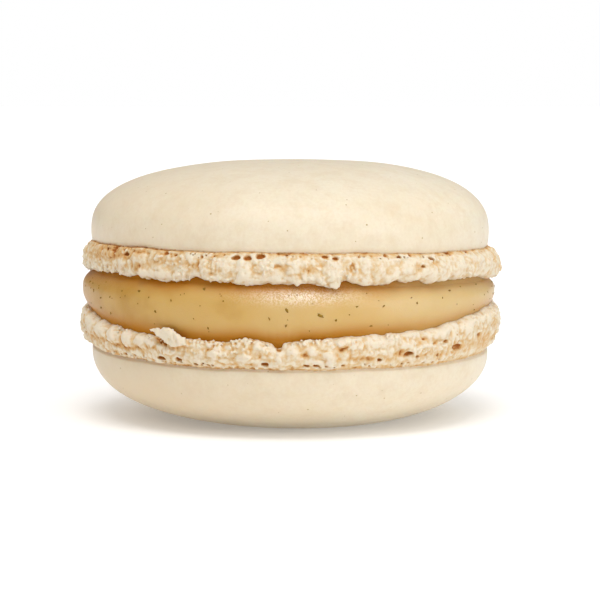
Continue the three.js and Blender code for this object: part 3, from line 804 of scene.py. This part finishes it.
# very low hollows and swellings in the baked skin
def skinSwell(points, shell):
    swell = np.zeros(len(points))
    dice = np.random.default_rng(70 + shell["series"])
    for k in range(skinLook["swells"]):
        wave = dice.uniform(*skinLook["swellWaves"])
        heading = dice.uniform(0, 2 * math.pi)
        phase = dice.uniform(0, 2 * math.pi)
        across = points[:, 0] * math.cos(heading) + points[:, 1] * math.sin(heading)
        along = wave * across + skinLook["swellUp"] * points[:, 2] + phase
        swell += skinLook["swellHeight"] * np.sin(along)
    return swell


def makeDome(shell, material):
    segments, steps = skinLook["counts"]
    points, faces = makeLathe(domeRings(shell, segments, steps), segments)
    outward = np.sign(shell["crown"] - shell["seam"][0])
    # the swellings fade out towards the seam and towards the flat base
    weight = smoothStep((points[:, 2] - shell["seam"][0]) * outward, *skinLook["swellFrom"])
    if outward < 0:
        faces = [face[::-1] for face in faces]
        weight = weight * smoothStep(points[:, 2], *skinLook["swellOverFloor"])
    away = points - np.array([0, 0, shell["seam"][0]])
    away /= np.linalg.norm(away, axis=1, keepdims=True) + 1e-9
    points = points + away * (skinSwell(points, shell) * weight)[:, None]
    return makeObject(shell["piece"], points, faces, material)


# fewer faces on the foot, none off the dome
def thinFoot(body, shell):
    mesh = body.data
    mesh.calc_loop_triangles()
    total = len(mesh.loop_triangles)
    print(shell["piece"], "triangles", total)
    points = pointsOf(mesh)
    drop = dropOf(points, shell, bearingOf(points))
    chosen = body.vertex_groups.new(name="foot")
    chosen.add(np.flatnonzero(drop > -0.05).tolist(), 1, "REPLACE")
    if total > footLook["faces"]:
        thin = body.modifiers.new("thin", "DECIMATE")
        thin.ratio = footLook["faces"] / total
        thin.vertex_group = "foot"
        applyModifiers(body)
    body.vertex_groups.clear()


def makeShell(shell, material):
    body = makeDome(shell, material)
    grid = growFoot(shell)
    ringPoints, ringFaces = wrapField(grid)
    ring = makeObject(shell["piece"] + "_foot", ringPoints, ringFaces)
    print(shell["piece"], "foot quads", len(ringFaces))
    fuse = body.modifiers.new("fuse", "BOOLEAN")
    fuse.operation = "UNION"
    fuse.solver = "MANIFOLD"
    fuse.object = ring
    applyModifiers(body)
    bpy.data.objects.remove(ring)
    thinFoot(body, shell)
    smooth(body.data)
    markCrumb(body.data, grid)
    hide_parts(shell["node"])
    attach(body, "root")
    print(shell["piece"], "faces", len(body.data.polygons))


# how far round a point the crumb is weighed, in mm, and what that makes of a crevice, whose painted shade
# darkens the crumb
crumbMarks = {
    "near": 0.3, "far": (0.5, 0.4), "nearGain": 3.2, "farGain": 3.4, "nearShare": 0.45, "farShare": 0.75,
    "proudest": -0.6, "paintedPaleRight": 0.25, "skinInset": 0.1,
}


# the mean of a field over a box of cells, round the ring without a seam
def blurred(values, width):
    for axis in range(3):
        pad = [(0, 0)] * 3
        pad[axis] = (width + 1, width)
        padded = np.pad(values, pad, mode="wrap" if axis == 0 else "edge")
        total = np.cumsum(padded, axis, dtype=np.float64)
        low = np.arange(values.shape[axis])
        high = low + 2 * width + 1
        values = (np.take(total, high, axis) - np.take(total, low, axis)) / (2 * width + 1)
    return values


# a field read between its cells
def sampled(grid, values, bearing, radius, drop):
    rows = (radius - grid.radii[0]) / grid.cell
    levels = (drop - grid.drops[0]) / grid.cell
    place = np.stack([bearing * grid.count / 360, rows, levels], 1)
    low = np.floor(place).astype(int)
    step = place - low
    total = np.zeros(len(place))
    for corner in cubeCorners:
        share = np.ones(len(place))
        for n, o in enumerate(corner):
            share = share * (step[:, n] if o else 1 - step[:, n])
        a, b, c = (low + corner).T
        b, c = np.clip(b, 0, values.shape[1] - 1), np.clip(c, 0, values.shape[2] - 1)
        total += share * values[a % grid.count, b, c]
    return total


# values for the finish: what is crumb, how deep in a crevice it lies for painted shade, and how browned or
# shaded it is
def markCrumb(mesh, grid):
    shell = grid.shell
    points = pointsOf(mesh)
    bearing = bearingOf(points) % 360
    radius = np.hypot(points[:, 0], points[:, 1])
    drop = dropOf(points, shell, bearing)
    crumb = smoothStep(drop, -0.03, 0.06)

    underSkin = (grid.radii < shell["domeRadius"] - crumbMarks["skinInset"])[None, :, None]
    skin = (grid.drops < 0.02)[None, None, :] & underSkin
    overRim = (grid.drops[None, :] < grid.edge[:, None])[:, None, :]
    core = (grid.radii < footLook["coreRadius"])[None, :, None] & overRim
    solid = ((grid.field > 0) | skin | core).astype(np.float32)
    near = blurred(solid, round(crumbMarks["near"] / grid.cell))
    far = solid
    for width in crumbMarks["far"]:
        far = blurred(far, round(width / grid.cell))
    crevice = 0
    for name, field in (("near", near), ("far", far)):
        weighed = (sampled(grid, field, bearing, radius, drop) - 0.5) * crumbMarks[name + "Gain"]
        crevice = crevice + crumbMarks[name + "Share"] * np.clip(weighed, crumbMarks["proudest"], 1)
    # the painted crevice shade is weaker on the right side, where more light falls
    right = smoothStep(np.sin(np.radians(bearing)), 0, 0.7)
    crevice *= shell["creviceShadeShare"] * (1 - crumbMarks["paintedPaleRight"] * right)
    writeValues(mesh, "crevice", crevice * crumb)
    writeValues(mesh, "drop", np.clip(drop, -1, 9))
    column = np.clip(bearing / 360 * grid.count, 0, grid.count - 1).astype(int)
    level = np.clip((drop - grid.drops[0]) / grid.cell, 0, len(grid.drops) - 1).astype(int)
    writeValues(mesh, "toastAndShade", grid.toastAndShade[column, level] * crumb)


# vanilla cream between the shells
cream = {
    "piece": "vanilla_cream", "radius": 21.93, "right": -0.07, "upperEdge": 21.0, "lowerEdge": 21.35,
    "fullness": 2.6, "overlap": 0.12, "tuck": 0.85, "segments": 480, "bands": 56,
    "innerRings": (7, 14, 19), "outerRing": 20.5, "edgeInset": 0.05,
    "waves": ((3, 0.05, 40), (7, 0.04, 0), (17, 0.02, 15)),  # count, height, start
    "paintedGlints": (3.4, 14.6, 4.6, 0.75),  # bearing, level, half width and half height of the patch of painted glints, where the highlight falls
    "shadeReach": (0.9, 1.0),  # how far the painted shade reaches below the upper foot and above the lower one
    "rimReach": (-4, -2, 0, 2, 4),  # the feet's rims are evened out over this many degrees
    # the painted shade under and over the feet fades by this much towards the right
    "paintedPaleRight": 0.45,
}


def creamPlace(bearing, share):
    edge = cream["upperEdge"] * (1 - share) + cream["lowerEdge"] * share
    upper = faceLevel(topShell, bearing, cream["upperEdge"])
    lower = faceLevel(bottomShell, bearing, cream["lowerEdge"])
    full = cream["radius"] + cream["right"] * np.sin(np.radians(bearing))
    swell = 1 - np.abs(2 * share - 1) ** cream["fullness"]
    wave = 0
    for count, height, start in cream["waves"]:
        wave = wave + height * np.sin(np.radians(count * bearing + start))
    return edge + (full - edge) * swell + wave * np.sin(np.pi * share), upper + (lower - upper) * share


# the hidden rings against one shell, from the middle outwards; they run on into its crumb
def hiddenRings(shell, bearing, share, edge, upward):
    overlap, tuck = upward * cream["overlap"], upward * cream["tuck"]
    inner, outer = (0, *cream["innerRings"]), cream["outerRing"]
    rings = [(radius, faceLevel(shell, bearing, radius) + overlap, 0) for radius in inner]
    rings.append((outer, faceLevel(shell, bearing, outer) + tuck, 0))
    rings.append((edge - cream["edgeInset"], creamPlace(bearing, share)[1] + tuck, 0))
    return rings


def makeCream(material):
    segments = cream["segments"]
    bearing = np.arange(segments) * 360 / segments
    rings = hiddenRings(topShell, bearing, 0, cream["upperEdge"], 1)
    for k in range(cream["bands"] + 1):
        share = (1 - math.cos(math.pi * k / cream["bands"])) / 2
        radius, level = creamPlace(bearing, share)
        rings.append((radius, level, 0))
    rings += hiddenRings(bottomShell, bearing, 1, cream["lowerEdge"], -1)[::-1]
    points, faces = makeLathe(rings, segments)
    piece = makeObject(cream["piece"], points, faces, material)

    # painted shade: closeness to the crumb above and below, weaker towards the right
    turn = bearingOf(points) % 360
    aside = cream["rimReach"]
    hanging = sum(edgeDrop(topShell, turn + a) for a in aside) / len(aside)
    standing = sum(edgeDrop(bottomShell, turn + a) for a in aside) / len(aside)
    upper = seamLevel(topShell, turn) - hanging - points[:, 2]
    lower = points[:, 2] - seamLevel(bottomShell, turn) - standing
    shadeFadeRight = 1 - cream["paintedPaleRight"] * smoothStep(np.sin(np.radians(turn)), 0.1, 0.8)
    for name, away, reach in zip(("shadeUnderTop", "shadeOverBottom"), (upper, lower), cream["shadeReach"]):
        writeValues(piece.data, name, np.exp(-(np.maximum(0, away) / reach) ** 2) * shadeFadeRight)
    at, height, halfWidth, halfHeight = cream["paintedGlints"]
    across = arcBetween(turn, at, cream["radius"]) / halfWidth
    along = (points[:, 2] - height) / halfHeight
    writeValues(piece.data, "paintedGlints", np.exp(-(across ** 2 + along ** 2)))
    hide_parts("filling")
    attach(piece, "root")


# vanilla seeds in the cream
specks = {
    "piece": "vanilla_seeds", "drawn": 90, "length": (0.14, 0.42), "seed": 5, "shares": (0.12, 0.88),
    "halfThickness": 0.07, "flatness": (0.4, 0.8), "rough": 0.25, "sunk": 0.02,
    "front": 75, "frontMost": 0.16,  # the drawn ones stay small up to this bearing
    "placed": [  # bearing, level, length
        (-72, 14.7, 0.4), (-67, 14.0, 0.35), (-61.6, 13.4, 0.45), (-61.7, 12.4, 0.4),
        (-56, 12.0, 0.25), (-50.6, 14.4, 0.25), (-43.5, 14.55, 0.4), (-37, 12.7, 0.35),
        (-32, 13.85, 0.25), (-22.7, 15.05, 0.4), (-21.3, 11.35, 0.3), (-17, 14.05, 0.2),
        (-5, 12.4, 0.3), (-0.5, 13.2, 0.48), (-0.7, 11.75, 0.35), (7.9, 12.7, 0.65), (12, 12.25, 0.3),
        (17.5, 13.5, 0.3), (24.9, 13.45, 0.36), (21.6, 11.55, 0.36), (33.6, 14.1, 0.25),
        (35.3, 13.55, 0.33), (44.5, 13.85, 0.25), (48.1, 14.45, 0.33), (54, 14.7, 0.2),
        (63.6, 14.65, 0.22), (60.4, 12.2, 0.22),
    ],
}


# points and faces of a small ball
def makeBall():
    shape = bmesh.new()
    bmesh.ops.create_icosphere(shape, subdivisions=2, radius=1)
    shape.verts.index_update()
    points = np.array([v.co[:] for v in shape.verts])
    faces = np.array([[v.index for v in face.verts] for face in shape.faces])
    shape.free()
    return points, faces


def makeSpecks(material):
    dice = np.random.default_rng(specks["seed"])
    found = list(specks["placed"])
    for k in range(specks["drawn"]):
        bearing, share = dice.uniform(0, 360), dice.uniform(*specks["shares"])
        level = creamPlace(np.array(bearing), share)[1]
        size = drawnSize(dice, specks["length"], 2)
        if abs(turned(bearing)) < specks["front"]:
            size = min(size, specks["frontMost"])
        found.append((bearing, float(level), size))

    ball, ballFaces = makeBall()
    points, faces = [], []
    for bearing, level, length in found:
        top, bottom = (creamPlace(np.array(bearing), end)[1] for end in (0, 1))
        share = float((top - level) / (top - bottom))
        radius = float(creamPlace(np.array(bearing), share)[0])
        halfHeight = length / 2 * dice.uniform(*specks["flatness"])
        stretch = np.array([length / 2, specks["halfThickness"], halfHeight])
        rough = 1 + specks["rough"] * dice.standard_normal(len(ball))
        x, y, z = (ball * rough[:, None] * stretch).T
        turn = dice.uniform(0, math.pi)
        c, s = math.cos(turn), math.sin(turn)
        x, z = x * c - z * s, x * s + z * c
        a = math.radians(bearing)
        out = np.array([math.sin(a), -math.cos(a), 0])
        side = np.array([math.cos(a), math.sin(a), 0])
        up = np.array([0, 0, 1.0])
        middle = out * (radius - specks["sunk"]) + up * level
        faces.append(ballFaces + len(points) * len(ball))
        points.append(middle + x[:, None] * side + y[:, None] * out + z[:, None] * up)
    piece = makeObject(specks["piece"], np.concatenate(points), np.concatenate(faces), material)
    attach(piece, "root")


# nodes for the finishes
def setInput(tree, socket, value):
    if isinstance(value, bpy.types.NodeSocket):
        tree.links.new(value, socket)
    else:
        socket.default_value = value


def addNode(tree, kind, inputs=None, **settings):
    node = tree.nodes.new(kind)
    for name, value in settings.items():
        setattr(node, name, value)
    for name, value in (inputs or {}).items():
        setInput(tree, node.inputs[name], value)
    return node


def ramp(tree, value, stops):
    node = addNode(tree, "ShaderNodeValToRGB", {"Fac": value})
    marks = node.color_ramp.elements
    while len(marks) > 1:
        marks.remove(marks[-1])
    marks[0].position, marks[0].color = stops[0][0], (*stops[0][1], 1)
    for position, colour in stops[1:]:
        marks.new(position).color = (*colour, 1)
    return node.outputs["Color"]


def mixColour(tree, share, a, b):
    a, b = ((*colour, 1) if isinstance(colour, tuple) else colour for colour in (a, b))
    return addNode(tree, "ShaderNodeMix", {0: share, 6: a, 7: b}, data_type="RGBA").outputs[2]


def math2(tree, kind, a, b, clamp=False):
    return addNode(tree, "ShaderNodeMath", {0: a, 1: b}, operation=kind, use_clamp=clamp).outputs[0]


def times(tree, a, b):
    return math2(tree, "MULTIPLY", a, b)


def plus(tree, a, b, clamp=False):
    return math2(tree, "ADD", a, b, clamp)


def minus(tree, a, b, clamp=False):
    return math2(tree, "SUBTRACT", a, b, clamp)


def mapRange(tree, value, start=0, end=1, low=0, high=1):
    return addNode(tree, "ShaderNodeMapRange", {
        "Value": value, "From Min": start, "From Max": end, "To Min": low, "To Max": high,
    }).outputs[0]


def attribute(tree, name):
    return addNode(tree, "ShaderNodeAttribute", attribute_name=name).outputs["Fac"]


def noise(tree, place, size, detail=2, roughness=0.5):  # size of one feature, in mm
    return addNode(tree, "ShaderNodeTexNoise", {
        "Vector": place, "Scale": 1 / (size * mm), "Detail": detail, "Roughness": roughness,
    }).outputs["Fac"]


def patches(tree, place, size, detail, roughness, low, high):  # noise from black to white
    return ramp(tree, noise(tree, place, size, detail, roughness), [(low, (0, 0, 0)), (high, (1, 1, 1))])


def swing(tree, value, amount):  # noise to both sides of 0
    return times(tree, minus(tree, value, 0.5), amount)


def bump(tree, height, distance, strength, under=None):
    inputs = {"Height": height, "Distance": distance * mm, "Strength": strength}
    if under:
        inputs["Normal"] = under
    return addNode(tree, "ShaderNodeBump", inputs).outputs[0]


def newMaterial(name):
    material = bpy.data.materials.new(name)
    material.use_nodes = True
    tree = material.node_tree
    tree.nodes.clear()
    shader = addNode(tree, "ShaderNodeBsdfPrincipled")
    addNode(tree, "ShaderNodeOutputMaterial", {"Surface": shader.outputs[0]})
    return material, tree, shader


def objectPlace(tree):
    return addNode(tree, "ShaderNodeTexCoord").outputs["Object"]


def setShader(tree, shader, values):
    for name, value in values.items():
        setInput(tree, shader.inputs[name], value)


meringue = {
    "skin": (0.775, 0.675, 0.505), "skinPale": (0.8, 0.715, 0.555), "skinWarm": (0.705, 0.57, 0.39),
    "dot": (0.45, 0.32, 0.12), "dotSpacing": 0.95, "dotSize": 0.17, "dotLeast": 0.06, "dotShare": 0.8,
    "cloudy": 0.6, "mottled": 0.32, "leftShade": 0.25, "lowLeftShade": 0.8, "edgeWarm": 0.4,
    "tip": (0.77, 0.67, 0.515), "crumb": (0.7, 0.535, 0.325), "tan": (0.64, 0.37, 0.135),
    "brown": (0.37, 0.115, 0.01), "stops": (0.12, 0.36, 0.66, 0.97),
    "creviceShadeDepth": 0.8, "toastDepth": 0.5, "grainDepth": 0.85, "blotchDepth": 0.7, "leastDepth": 0.3,
    "seamTanAndShade": 0.18, "seamFade": 0.5, "ragged": 0.5,
    "roughness": (0.42, 0.62), "soft": (0.3, 0.15),  # of the skin and of the crumb
    # noises: size, detail, roughness; then where black ends and white starts
    "clouds": (1.9, 5, 0.7, 0.46, 0.7), "mottles": (0.34, 3, 0.7, 0.4, 0.68),
    "border": (0.5, 3, 0.7), "grain": (0.4, 3, 0.65), "blotch": (1.6, 2, 0.6),
    "crumbGrain": (0.2, 3, 0.6), "skinGrain": (0.5, 4, 0.6),
}


# smooth skin with faint clouds, a few tiny almond specks and painted shade on its left side, deepest low
# down
def skinColour(tree, place, border):
    warm = meringue["skinWarm"]
    skin = ramp(tree, noise(tree, place, 9, 3), [(0.35, meringue["skinPale"]), (0.65, meringue["skin"])])
    across = addNode(tree, "ShaderNodeSeparateXYZ", {"Vector": place})
    # painted shade: the left side, most of all low down, turns warmer and darker
    left = mapRange(tree, across.outputs["X"], 0.006, -0.02)
    low = mapRange(tree, across.outputs["Z"], 0.009, 0.004, 0, meringue["lowLeftShade"])
    skin = mixColour(tree, times(tree, left, plus(tree, low, meringue["leftShade"])), skin, warm)
    clouds = patches(tree, place, *meringue["clouds"])
    skin = mixColour(tree, times(tree, clouds, meringue["cloudy"]), skin, warm)
    mottles = patches(tree, place, *meringue["mottles"])
    skin = mixColour(tree, times(tree, mottles, meringue["mottled"]), skin, warm)
    spacing = meringue["dotSpacing"] * mm
    dots = addNode(tree, "ShaderNodeTexVoronoi", {"Vector": place, "Scale": 1 / spacing})
    drawn = addNode(tree, "ShaderNodeSeparateColor", {"Color": dots.outputs["Color"]}).outputs[0]
    size = minus(tree, times(tree, drawn, meringue["dotSize"]), meringue["dotLeast"])
    isDot = math2(tree, "LESS_THAN", dots.outputs["Distance"], size)
    skin = mixColour(tree, times(tree, isDot, meringue["dotShare"]), skin, meringue["dot"])
    return mixColour(tree, mapRange(tree, border, -0.6, -0.05, 0, meringue["edgeWarm"]), skin, warm)


# crumb from pale tips to brown hollows: painted light on proud tips and painted shade in crevices, with
# browning, grain and blotches
def crumbColour(tree, place, drop):
    depth = times(tree, attribute(tree, "crevice"), meringue["creviceShadeDepth"])
    for part in (
        times(tree, attribute(tree, "toastAndShade"), meringue["toastDepth"]),
        swing(tree, noise(tree, place, *meringue["grain"]), meringue["grainDepth"]),
        swing(tree, noise(tree, place, *meringue["blotch"]), meringue["blotchDepth"]),
        # painted shade and tan just under the skin's edge
        minus(tree, meringue["seamTanAndShade"], times(tree, drop, meringue["seamFade"]), clamp=True),
    ):
        depth = plus(tree, depth, part)
    depth = plus(tree, depth, meringue["leastDepth"], clamp=True)
    tones = (meringue[name] for name in ("tip", "crumb", "tan", "brown"))
    return ramp(tree, depth, list(zip(meringue["stops"], tones)))


def makeMeringue():
    material, tree, shader = newMaterial("baked_meringue")
    place = objectPlace(tree)
    drop = attribute(tree, "drop")
    border = plus(tree, drop, swing(tree, noise(tree, place, *meringue["border"]), meringue["ragged"]))
    crumb = mapRange(tree, border, -0.09, 0.03)
    skin = skinColour(tree, place, border)
    inside = crumbColour(tree, place, drop)
    crumbGrain, skinGrain = (noise(tree, place, *meringue[name]) for name in ("crumbGrain", "skinGrain"))
    crumbBump = bump(tree, crumbGrain, 0.12, times(tree, crumb, 0.6))
    setShader(tree, shader, {
        "Base Color": mixColour(tree, crumb, skin, inside),
        "Roughness": mapRange(tree, crumb, 0, 1, *meringue["roughness"]),
        "Normal": bump(tree, skinGrain, 0.03, 0.35, crumbBump),
        "Subsurface Weight": mapRange(tree, crumb, 0, 1, *meringue["soft"]),
        "Subsurface Radius": (1.0, 0.55, 0.25), "Subsurface Scale": 1 * mm, "Specular IOR Level": 0.32,
    })
    return material


vanillaCream = {
    "deep": (0.485, 0.265, 0.04), "base": (0.6, 0.375, 0.105), "pale": (0.645, 0.46, 0.2),
    "stops": (0.1, 0.3, 0.9), "paintedPaleRight": 19,  # the rise of the tone for each metre to the right, painted light where the right side catches more light
    # colours of the painted shade under the upper foot and over the lower one
    "shadeUnderTop": (0.42, 0.145, 0.005), "shadeOverBottom": (0.47, 0.185, 0.015),
    # colour and amounts of the painted glints of the highlight
    "paintedGlints": (0.95, 0.88, 0.76), "paintedGlitter": 0.75, "leastPaintedGlitter": 0.12, "glintsInShade": 0.75,
    "roughness": 0.33, "shine": (0.5, 0.05),  # in the open and in the shade
    "glints": (0.16, 2, 0.7, 0.42, 0.58), "fineGrain": (0.13, 2, 0.6), "softWaves": (1.6, 2),
}


def makeCreamFinish():
    material, tree, shader = newMaterial("vanilla_cream")
    place = objectPlace(tree)
    across = addNode(tree, "ShaderNodeSeparateXYZ", {"Vector": place}).outputs["X"]
    # the tone varies at random and is painted paler towards the right, where more light falls
    tone = plus(tree, times(tree, across, vanillaCream["paintedPaleRight"]), noise(tree, place, 6, 3))
    tones = (vanillaCream[name] for name in ("deep", "base", "pale"))
    colour = ramp(tree, tone, list(zip(vanillaCream["stops"], tones)))
    shade = 0.0
    # painted shade under the upper foot and over the lower one
    for name in ("shadeUnderTop", "shadeOverBottom"):
        share = attribute(tree, name)
        colour = mixColour(tree, share, colour, vanillaCream[name])
        shade = plus(tree, share, shade, clamp=True)
    # painted highlight: glints where the light's reflection falls, weaker in the painted shade of the feet
    paintedGlitter = times(tree, patches(tree, place, *vanillaCream["glints"]), vanillaCream["paintedGlitter"])
    paintedGlitter = plus(tree, paintedGlitter, vanillaCream["leastPaintedGlitter"])
    bare = minus(tree, 1, times(tree, shade, vanillaCream["glintsInShade"]))
    paintedGlitter = times(tree, paintedGlitter, times(tree, attribute(tree, "paintedGlints"), bare))
    fine = bump(tree, noise(tree, place, *vanillaCream["fineGrain"]), 0.04, 0.5)
    setShader(tree, shader, {
        "Base Color": mixColour(tree, paintedGlitter, colour, vanillaCream["paintedGlints"]),
        "Normal": bump(tree, noise(tree, place, *vanillaCream["softWaves"]), 0.15, 0.25, fine),
        "Specular IOR Level": mapRange(tree, shade, 0, 1, *vanillaCream["shine"]),
        "Roughness": vanillaCream["roughness"], "Subsurface Weight": 0.45,
        "Subsurface Radius": (1.0, 0.5, 0.15), "Subsurface Scale": 1.4 * mm,
    })
    return material


def makeSeedFinish():
    material, tree, shader = newMaterial("vanilla_seed")
    patchy = noise(tree, objectPlace(tree), 0.3)
    colour = ramp(tree, patchy, [(0.3, (0.2, 0.1, 0.005)), (0.7, (0.33, 0.19, 0.02))])
    setShader(tree, shader, {"Base Color": colour, "Roughness": 0.55, "Specular IOR Level": 0.2})
    return material


print("finishes")
meringueFinish = makeMeringue()
creamFinish = makeCreamFinish()
seedFinish = makeSeedFinish()
print("shells")
for shell in (topShell, bottomShell):
    makeShell(shell, meringueFinish)
print("cream")
makeCream(creamFinish)
print("seeds")
makeSpecks(seedFinish)


studio = {
    "lens": 126, "sensor": 36, "cameraPlace": (1.07, -224, 33.3), "lookDown": 5.387,
    "clip": (0.01, 20),
    "lamps": [  # name, turn to the right, height, spread (in degrees), strength, colour
        ("key", -3, 65, 30, 1.22, (1, 0.975, 0.945)), ("front", -3, 24, 36, 0.16, (1, 0.98, 0.95)),
        ("right", 30, 46, 16, 0.1, (1, 1, 1)), ("side", 56, 7, 38, 1.12, (0.94, 1, 1.09)),
    ],
    "skyLow": 0.2, "skyHigh": 0.88, "floorTone": 0.9, "floorGlow": 0.17, "floorHalf": 12000,
}


def addToScene(name, data):
    holder = bpy.data.objects.new(name, data)
    bpy.context.scene.collection.objects.link(holder)
    return holder


def makeCamera():
    camera = bpy.data.cameras.new("camera")
    camera.lens = studio["lens"]
    camera.sensor_width = studio["sensor"]
    camera.clip_start, camera.clip_end = studio["clip"]
    holder = addToScene("camera", camera)
    holder.location = [v * mm for v in studio["cameraPlace"]]
    holder.rotation_euler = (math.radians(90 - studio["lookDown"]), 0, 0)
    bpy.context.scene.camera = holder


def makeLamp(name, turn, height, spread, strength, colour):
    lamp = bpy.data.lights.new(name, "SUN")
    lamp.energy = strength
    lamp.angle = math.radians(spread)
    lamp.color = colour
    holder = addToScene(name, lamp)
    holder.rotation_euler = (math.radians(90 - height), 0, math.radians(turn))


def makeFloor():
    material, tree, shader = newMaterial("floor")
    tone = studio["floorTone"]
    setShader(tree, shader, {
        "Base Color": (tone, tone, tone, 1), "Roughness": 1, "Specular IOR Level": 0,
        "Emission Color": (1, 1, 1, 1), "Emission Strength": studio["floorGlow"],
    })
    half = studio["floorHalf"]
    points = [(-half, -half, 0), (half, -half, 0), (half, half, 0), (-half, half, 0)]
    makeObject("floor", points, [(0, 1, 2, 3)], material)


def makeSky():
    world = bpy.data.worlds.new("studio")
    world.use_nodes = True
    tree = world.node_tree
    tree.nodes.clear()
    heading = addNode(tree, "ShaderNodeTexCoord").outputs["Generated"]
    height = addNode(tree, "ShaderNodeSeparateXYZ", {"Vector": heading}).outputs["Z"]
    glow = mapRange(tree, height, 0, 1, studio["skyLow"], studio["skyHigh"])
    light = addNode(tree, "ShaderNodeBackground", {"Color": (1, 1, 1, 1), "Strength": glow})
    shown = addNode(tree, "ShaderNodeBackground", {"Color": (1, 1, 1, 1), "Strength": 1.0})
    path = addNode(tree, "ShaderNodeLightPath")
    both = addNode(tree, "ShaderNodeMixShader", {
        0: path.outputs["Is Camera Ray"], 1: light.outputs[0], 2: shown.outputs[0]})
    addNode(tree, "ShaderNodeOutputWorld", {"Surface": both.outputs[0]})
    bpy.context.scene.world = world


print("studio")
makeCamera()
for lamp in studio["lamps"]:
    makeLamp(*lamp)
makeFloor()
makeSky()
scene = bpy.context.scene
scene.view_settings.view_transform = "Standard"
scene.view_settings.look = "None"
